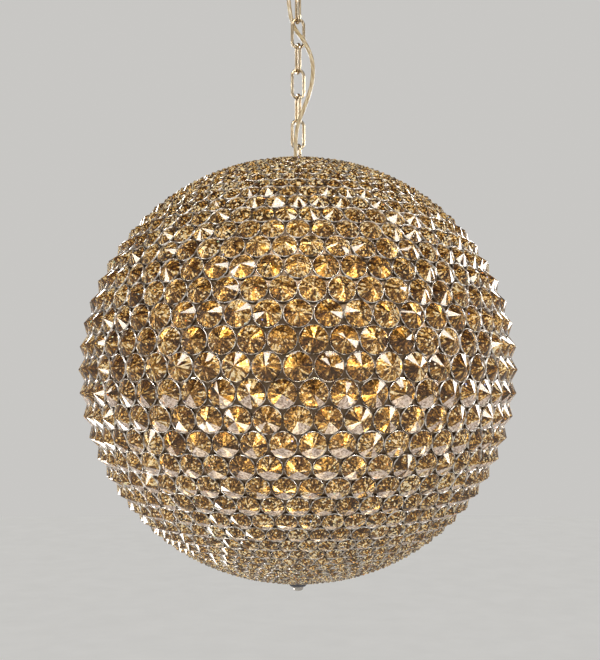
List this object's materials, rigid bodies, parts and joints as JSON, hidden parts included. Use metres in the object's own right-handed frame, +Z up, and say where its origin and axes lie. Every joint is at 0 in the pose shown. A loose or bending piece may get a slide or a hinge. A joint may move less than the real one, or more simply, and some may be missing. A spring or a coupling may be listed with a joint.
{
  "type": "pendant light",
  "caption": "Round pendant light: a globe of cone-cut amber crystals in ring bezels, hung on a gold link chain with a laced flex below a ceiling canopy.",
  "frame": {"origin": "middle of the bracket on the ceiling plane, above the canopy", "axes": "+Z up into the ceiling, -Y towards the viewer of the picture, +X to that viewer's right"},
  "size_m": [0.5152, 0.5152, 0.8214],
  "materials": {
    "polished_gold": "polished gold plate",
    "plated_steel": "zinc plated",
    "bezel_chrome": "polished",
    "amber_crystal": "cut and polished",
    "flex_sheath": "clear gold sheath",
    "bush_plastic": "moulded",
    "terminal_plastic": "moulded",
    "white_ceramic": "glazed ceramic",
    "lamp_glass": "clear capsule",
    "stem_nickel": "satin nickel"
  },
  "bodies": {
    "root": {"ceiling_bracket": "plated_steel", "threaded_nipple": "plated_steel", "bracket_nut": "plated_steel", "canopy": "polished_gold", "canopy_collar": "polished_gold", "ceiling_loop": "polished_gold", "ceiling_terminal_block": "terminal_plastic", "canopy_bush": "bush_plastic", "supply_flex": "flex_sheath"},
    "link_1": {"chain_link_1": "polished_gold"},
    "link_2": {"chain_link_2": "polished_gold"},
    "link_3": {"chain_link_3": "polished_gold"},
    "link_4": {"chain_link_4": "polished_gold"},
    "link_5": {"chain_link_5": "polished_gold"},
    "link_6": {"chain_link_6": "polished_gold"},
    "link_7": {"chain_link_7": "polished_gold"},
    "globe": {"globe_loop": "polished_gold", "top_plate": "bezel_chrome", "globe_bush": "bush_plastic", "globe_terminal_block": "terminal_plastic", "upper_frame": "bezel_chrome", "stem": "stem_nickel", "crystals_upper_1": "amber_crystal", "crystals_upper_2": "amber_crystal", "crystals_upper_3": "amber_crystal", "crystals_upper_4": "amber_crystal", "crystals_upper_5": "amber_crystal", "crystals_upper_6": "amber_crystal", "upper_hub": "stem_nickel", "upper_arms": "stem_nickel", "upper_lampholders": "white_ceramic", "upper_lamps": "lamp_glass", "middle_hub": "stem_nickel", "middle_arms": "stem_nickel", "middle_lampholders": "white_ceramic", "middle_lamps": "lamp_glass", "lower_hub": "stem_nickel", "lower_arms": "stem_nickel", "lower_lampholders": "white_ceramic", "lower_lamps": "lamp_glass"},
    "lower_globe": {"lower_frame": "bezel_chrome", "bottom_plate": "bezel_chrome", "crystals_lower_1": "amber_crystal", "crystals_lower_2": "amber_crystal", "crystals_lower_3": "amber_crystal", "crystals_lower_4": "amber_crystal", "crystals_lower_5": "amber_crystal", "crystals_lower_6": "amber_crystal"},
    "finial": {"finial_nut": "bezel_chrome", "finial_dome": "bezel_chrome"}
  },
  "joints": [
    {"name": "link_1_swing", "type": "hinge", "parent": "root", "child": "link_1", "pos_m": [0, 0, -0.079], "axis": [-0.2756, 0.9613, 0], "range_deg": [-15, 15], "deforming": ["supply_flex"]},
    {"name": "link_2_swing", "type": "hinge", "parent": "link_1", "child": "link_2", "pos_m": [0, 0, -0.1093], "axis": [0.9613, 0.2756, 0], "range_deg": [-15, 15], "deforming": ["supply_flex"]},
    {"name": "link_3_swing", "type": "hinge", "parent": "link_2", "child": "link_3", "pos_m": [0, 0, -0.1398], "axis": [-0.2756, 0.9613, 0], "range_deg": [-15, 15], "deforming": ["supply_flex"]},
    {"name": "link_4_swing", "type": "hinge", "parent": "link_3", "child": "link_4", "pos_m": [0, 0, -0.1703], "axis": [0.9613, 0.2756, 0], "range_deg": [-15, 15], "deforming": ["supply_flex"]},
    {"name": "link_5_swing", "type": "hinge", "parent": "link_4", "child": "link_5", "pos_m": [0, 0, -0.2008], "axis": [-0.2756, 0.9613, 0], "range_deg": [-15, 15], "deforming": ["supply_flex"]},
    {"name": "link_6_swing", "type": "hinge", "parent": "link_5", "child": "link_6", "pos_m": [0, 0, -0.2313], "axis": [0.9613, 0.2756, 0], "range_deg": [-15, 15], "deforming": ["supply_flex"]},
    {"name": "link_7_swing", "type": "hinge", "parent": "link_6", "child": "link_7", "pos_m": [0, 0, -0.2618], "axis": [-0.2756, 0.9613, 0], "range_deg": [-15, 15], "deforming": ["supply_flex"]},
    {"name": "globe_swing", "type": "hinge", "parent": "link_7", "child": "globe", "pos_m": [0, 0, -0.2923], "axis": [0.9613, 0.2756, 0], "range_deg": [-15, 15], "deforming": ["supply_flex"]},
    {"name": "lower_globe_drop", "type": "slide", "parent": "globe", "child": "lower_globe", "axis": [0, 0, -1], "range_m": [0, 0.28]},
    {"name": "finial_turn", "type": "hinge", "parent": "lower_globe", "child": "finial", "pos_m": [0, 0, -0.8127], "axis": [0, 0, 1], "continuous": true}
  ]
}
